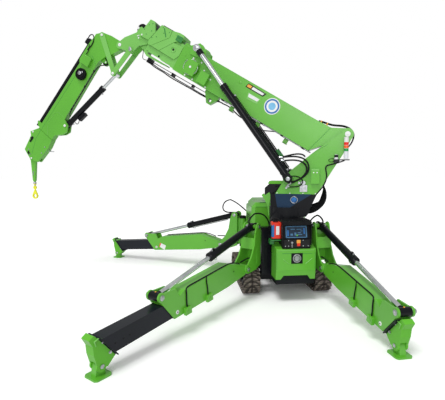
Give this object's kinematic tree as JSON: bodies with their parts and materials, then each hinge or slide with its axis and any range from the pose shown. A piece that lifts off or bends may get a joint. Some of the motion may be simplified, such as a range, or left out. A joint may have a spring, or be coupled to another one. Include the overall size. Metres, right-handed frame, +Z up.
{
  "type": "spider crane",
  "caption": "Compact spider crane on rubber tracks with folding outriggers, a telescopic boom and a folding jib with a hook.",
  "frame": {"origin": "centre of the crane's bounding box on the ground, as it stands set up", "axes": "+Z up, +Y forward along the tracks (the control panel faces -Y), +X to the machine's right; the boom points to -X, turned 22 degrees towards +Y"},
  "size_m": [5.151, 5.4152, 4.0782],
  "materials": {
    "green_paint": "gloss",
    "black_paint": "satin",
    "chrome": "polished",
    "track_rubber": "matte",
    "cast_steel": "matte",
    "black_plastic": "matte",
    "red_plastic": "satin",
    "lamp_plastic": "satin",
    "hook_yellow": "gloss"
  },
  "bodies": {
    "chassis": {"chassis_frame": "black_paint", "track_frame_left": "black_paint", "track_frame_right": "black_paint", "track_left": "track_rubber", "track_right": "track_rubber", "engine_block": "cast_steel", "engine_hood": "green_paint", "rear_cover": "green_paint", "control_panel": "black_plastic", "remote_control": "red_plastic", "slew_ring": "black_paint"},
    "turret": {"turret_base": "black_paint", "column": "green_paint", "turret_box": "black_plastic", "stack_light": "lamp_plastic"},
    "lift_barrel_pair": {"lift_barrels": "black_paint"},
    "lift_rod_pair": {"lift_rods": "chrome"},
    "base_boom": {"boom_base": "green_paint", "hose_reel": "black_plastic"},
    "section_1": {"boom_section_1": "green_paint"},
    "section_2": {"boom_section_2": "green_paint"},
    "section_3": {"boom_section_3": "green_paint"},
    "head": {"boom_head": "green_paint"},
    "sheave_set": {"head_sheaves": "black_plastic"},
    "jib": {"jib_base": "green_paint", "jib_ext_barrel": "black_paint", "jib_reel": "black_plastic"},
    "front_link": {"link_1": "green_paint"},
    "rear_link": {"link_2": "green_paint"},
    "jib_barrel": {"jib_cylinder_barrel": "black_paint"},
    "jib_rod": {"jib_cylinder_rod": "chrome"},
    "jib_extension": {"jib_inner": "green_paint"},
    "hanger": {"hook_hanger": "green_paint"},
    "hook_block": {"hook": "hook_yellow"},
    "rear_left_bracket_body": {"rear_left_bracket": "green_paint"},
    "rear_left_beam_body": {"rear_left_beam": "green_paint"},
    "rear_left_inner_body": {"rear_left_inner": "black_paint"},
    "rear_left_pad_body": {"rear_left_pad": "green_paint"},
    "rear_left_barrel_body": {"rear_left_barrel": "black_paint"},
    "rear_left_rod_body": {"rear_left_rod": "chrome"},
    "rear_right_bracket_body": {"rear_right_bracket": "green_paint"},
    "rear_right_beam_body": {"rear_right_beam": "green_paint"},
    "rear_right_inner_body": {"rear_right_inner": "green_paint"},
    "rear_right_pad_body": {"rear_right_pad": "green_paint"},
    "rear_right_barrel_body": {"rear_right_barrel": "black_paint"},
    "rear_right_rod_body": {"rear_right_rod": "chrome"},
    "front_left_bracket_body": {"front_left_bracket": "green_paint"},
    "front_left_beam_body": {"front_left_beam": "green_paint"},
    "front_left_inner_body": {"front_left_inner": "black_paint"},
    "front_left_pad_body": {"front_left_pad": "green_paint"},
    "front_left_barrel_body": {"front_left_barrel": "black_paint"},
    "front_left_rod_body": {"front_left_rod": "chrome"},
    "front_right_bracket_body": {"front_right_bracket": "green_paint"},
    "front_right_beam_body": {"front_right_beam": "green_paint"},
    "front_right_inner_body": {"front_right_inner": "green_paint"},
    "front_right_pad_body": {"front_right_pad": "green_paint"},
    "front_right_barrel_body": {"front_right_barrel": "black_paint"},
    "front_right_rod_body": {"front_right_rod": "chrome"}
  },
  "joints": [
    {"name": "slew", "type": "hinge", "parent": "chassis", "child": "turret", "pos_m": [1.682, -0.5778, 1.09], "axis": [0, 0, 1], "continuous": true},
    {"name": "luff", "type": "hinge", "parent": "turret", "child": "base_boom", "pos_m": [2.43951, -0.88385, 2.282], "axis": [0.3746, 0.9272, 0], "range_deg": [-30, 48]},
    {"name": "lift_barrel_tilt", "type": "hinge", "parent": "turret", "child": "lift_barrel_pair", "pos_m": [1.72187, -0.59391, 1.681], "axis": [0.3746, 0.9272, 0], "range_deg": [-30, 48]},
    {"name": "lift_rod_slide", "type": "slide", "parent": "lift_barrel_pair", "child": "lift_rod_pair", "axis": [-0.537, 0.217, 0.8152], "range_m": [-0.48, 0.77]},
    {"name": "boom_extend_1", "type": "slide", "parent": "base_boom", "child": "section_1", "axis": [-0.7897, 0.3191, 0.524], "range_m": [0, 1.5]},
    {"name": "boom_extend_2", "type": "slide", "parent": "section_1", "child": "section_2", "axis": [-0.7897, 0.3191, 0.524], "range_m": [0, 1.5]},
    {"name": "boom_extend_3", "type": "slide", "parent": "section_2", "child": "section_3", "axis": [-0.7897, 0.3191, 0.524], "range_m": [0, 1.5]},
    {"name": "boom_extend_4", "type": "slide", "parent": "section_3", "child": "head", "axis": [-0.7897, 0.3191, 0.524], "range_m": [0, 1.5]},
    {"name": "head_sheave_spin", "type": "hinge", "parent": "head", "child": "sheave_set", "pos_m": [-0.41064, 0.26768, 3.97823], "axis": [0.3746, 0.9272, 0], "continuous": true},
    {"name": "jib_fold", "type": "hinge", "parent": "head", "child": "jib", "pos_m": [-0.75744, 0.4078, 3.76606], "axis": [-0.3746, -0.9272, 0], "range_deg": [-82, 60]},
    {"name": "front_link_swing", "type": "hinge", "parent": "jib", "child": "front_link", "pos_m": [-1.06333, 0.53139, 3.95418], "axis": [-0.3746, -0.9272, 0], "range_deg": [-21, 28]},
    {"name": "rear_link_swing", "type": "hinge", "parent": "head", "child": "rear_link", "pos_m": [-0.5822, 0.337, 3.67174], "axis": [-0.3746, -0.9272, 0], "range_deg": [-50, 37]},
    {"name": "jib_barrel_tilt", "type": "hinge", "parent": "jib", "child": "jib_barrel", "pos_m": [-1.76775, 0.81599, 2.54437], "axis": [-0.3746, -0.9272, 0], "range_deg": [-9, 9]},
    {"name": "jib_rod_slide", "type": "slide", "parent": "jib_barrel", "child": "jib_rod", "axis": [0.7174, -0.2899, 0.6335], "range_m": [-0.22, 0.3]},
    {"name": "jib_extend", "type": "slide", "parent": "jib", "child": "jib_extension", "axis": [-0.5923, 0.2393, -0.7694], "range_m": [0, 0.9]},
    {"name": "hanger_swing", "type": "hinge", "parent": "jib_extension", "child": "hanger", "pos_m": [-2.42462, 1.08138, 2.00569], "axis": [0.3746, 0.9272, 0], "range_deg": [-60, 45]},
    {"name": "hook_swivel", "type": "hinge", "parent": "hanger", "child": "hook_block", "pos_m": [-2.42462, 1.08138, 1.50569], "axis": [0, 0, 1], "continuous": true},
    {"name": "rear_left_swing", "type": "hinge", "parent": "chassis", "child": "rear_left_bracket_body", "pos_m": [1.229, -0.6108, 0.495], "axis": [0, 0, 1], "range_deg": [-47.7, 42.3]},
    {"name": "rear_left_lift", "type": "hinge", "parent": "rear_left_bracket_body", "child": "rear_left_beam_body", "pos_m": [0.96585, -0.9, 0.465], "axis": [-0.7396, 0.673, 0], "range_deg": [-2, 75.4]},
    {"name": "rear_left_extend", "type": "slide", "parent": "rear_left_beam_body", "child": "rear_left_inner_body", "axis": [0.67, 0.7363, 0.0948], "range_m": [-0.08, 0.72]},
    {"name": "rear_left_pad_tilt", "type": "hinge", "parent": "rear_left_inner_body", "child": "rear_left_pad_body", "pos_m": [-0.56298, -2.58016, 0.1], "axis": [-0.7396, 0.673, 0], "range_deg": [-20, 20]},
    {"name": "rear_left_barrel_tilt", "type": "hinge", "parent": "rear_left_bracket_body", "child": "rear_left_barrel_body", "pos_m": [1.14824, -0.69956, 1.009], "axis": [-0.7396, 0.673, 0], "range_deg": [-5, 75.4]},
    {"name": "rear_left_rod_slide", "type": "slide", "parent": "rear_left_barrel_body", "child": "rear_left_rod_body", "axis": [-0.6502, -0.7146, -0.2579], "range_m": [-0.8, 0.03]},
    {"name": "rear_right_swing", "type": "hinge", "parent": "chassis", "child": "rear_right_bracket_body", "pos_m": [2.135, -0.6108, 0.495], "axis": [0, 0, -1], "range_deg": [-85.6, 4.4]},
    {"name": "rear_right_lift", "type": "hinge", "parent": "rear_right_bracket_body", "child": "rear_right_beam_body", "pos_m": [2.165, -1.00065, 0.465], "axis": [-0.9971, -0.0767, 0], "range_deg": [-2, 78]},
    {"name": "rear_right_extend", "type": "slide", "parent": "rear_right_beam_body", "child": "rear_right_inner_body", "axis": [-0.076, 0.9874, 0.1386], "range_m": [-0.8, 0]},
    {"name": "rear_right_pad_tilt", "type": "hinge", "parent": "rear_right_inner_body", "child": "rear_right_pad_body", "pos_m": [2.28317, -2.53639, 0.1], "axis": [-0.9971, -0.0767, 0], "range_deg": [-20, 20]},
    {"name": "rear_right_barrel_tilt", "type": "hinge", "parent": "rear_right_bracket_body", "child": "rear_right_barrel_body", "pos_m": [2.14421, -0.73045, 1.009], "axis": [-0.9971, -0.0767, 0], "range_deg": [-5, 78]},
    {"name": "rear_right_rod_slide", "type": "slide", "parent": "rear_right_barrel_body", "child": "rear_right_rod_body", "axis": [0.0734, -0.9538, -0.2913], "range_m": [-0.8, 0.03]},
    {"name": "front_left_swing", "type": "hinge", "parent": "chassis", "child": "front_left_bracket_body", "pos_m": [1.229, 0.6442, 0.495], "axis": [0, 0, -1], "range_deg": [-28.8, 61.2]},
    {"name": "front_left_lift", "type": "hinge", "parent": "front_left_bracket_body", "child": "front_left_beam_body", "pos_m": [0.88636, 0.83257, 0.465], "axis": [0.4818, 0.8763, 0], "range_deg": [-2, 75.3]},
    {"name": "front_left_extend", "type": "slide", "parent": "front_left_beam_body", "child": "front_left_inner_body", "axis": [0.8726, -0.4797, 0.0925], "range_m": [-0.023, 0.777]},
    {"name": "front_left_pad_tilt", "type": "hinge", "parent": "front_left_inner_body", "child": "front_left_pad_body", "pos_m": [-1.15475, 1.95468, 0.1], "axis": [0.4818, 0.8763, 0], "range_deg": [-20, 20]},
    {"name": "front_left_barrel_tilt", "type": "hinge", "parent": "front_left_bracket_body", "child": "front_left_barrel_body", "pos_m": [1.12384, 0.70201, 1.009], "axis": [0.4818, 0.8763, 0], "range_deg": [-5, 75.3]},
    {"name": "front_left_rod_slide", "type": "slide", "parent": "front_left_barrel_body", "child": "front_left_rod_body", "axis": [-0.8471, 0.4657, -0.2561], "range_m": [-0.8, 0.03]},
    {"name": "front_right_swing", "type": "hinge", "parent": "chassis", "child": "front_right_bracket_body", "pos_m": [2.135, 0.6442, 0.495], "axis": [0, 0, 1], "range_deg": [-85.6, 4.4]},
    {"name": "front_right_lift", "type": "hinge", "parent": "front_right_bracket_body", "child": "front_right_beam_body", "pos_m": [2.165, 1.03405, 0.465], "axis": [0.9971, -0.0767, 0], "range_deg": [-2, 78]},
    {"name": "front_right_extend", "type": "slide", "parent": "front_right_beam_body", "child": "front_right_inner_body", "axis": [-0.076, -0.9874, 0.1386], "range_m": [-0.8, 0]},
    {"name": "front_right_pad_tilt", "type": "hinge", "parent": "front_right_inner_body", "child": "front_right_pad_body", "pos_m": [2.28317, 2.56979, 0.1], "axis": [0.9971, -0.0767, 0], "range_deg": [-20, 20]},
    {"name": "front_right_barrel_tilt", "type": "hinge", "parent": "front_right_bracket_body", "child": "front_right_barrel_body", "pos_m": [2.14421, 0.76385, 1.009], "axis": [0.9971, -0.0767, 0], "range_deg": [-5, 78]},
    {"name": "front_right_rod_slide", "type": "slide", "parent": "front_right_barrel_body", "child": "front_right_rod_body", "axis": [0.0734, 0.9538, -0.2913], "range_m": [-0.8, 0.03]}
  ],
  "couplings": [
    {"joint": "lift_barrel_tilt", "follows": "luff", "ratio": 0.93},
    {"joint": "lift_rod_slide", "follows": "luff", "m_per_rad": 0.8938},
    {"joint": "boom_extend_2", "follows": "boom_extend_1", "ratio": 1},
    {"joint": "boom_extend_3", "follows": "boom_extend_1", "ratio": 1},
    {"joint": "boom_extend_4", "follows": "boom_extend_1", "ratio": 1},
    {"joint": "rear_link_swing", "follows": "jib_fold", "ratio": 0.6},
    {"joint": "front_link_swing", "follows": "jib_fold", "ratio": -0.33},
    {"joint": "jib_barrel_tilt", "follows": "jib_fold", "ratio": 0.04},
    {"joint": "jib_rod_slide", "follows": "jib_fold", "m_per_rad": -0.1948},
    {"joint": "rear_left_barrel_tilt", "follows": "rear_left_lift", "ratio": 0.955},
    {"joint": "rear_left_rod_slide", "follows": "rear_left_lift", "m_per_rad": -0.565},
    {"joint": "rear_right_barrel_tilt", "follows": "rear_right_lift", "ratio": 0.955},
    {"joint": "rear_right_rod_slide", "follows": "rear_right_lift", "m_per_rad": -0.558},
    {"joint": "front_left_barrel_tilt", "follows": "front_left_lift", "ratio": 0.955},
    {"joint": "front_left_rod_slide", "follows": "front_left_lift", "m_per_rad": -0.565},
    {"joint": "front_right_barrel_tilt", "follows": "front_right_lift", "ratio": 0.955},
    {"joint": "front_right_rod_slide", "follows": "front_right_lift", "m_per_rad": -0.558}
  ]
}
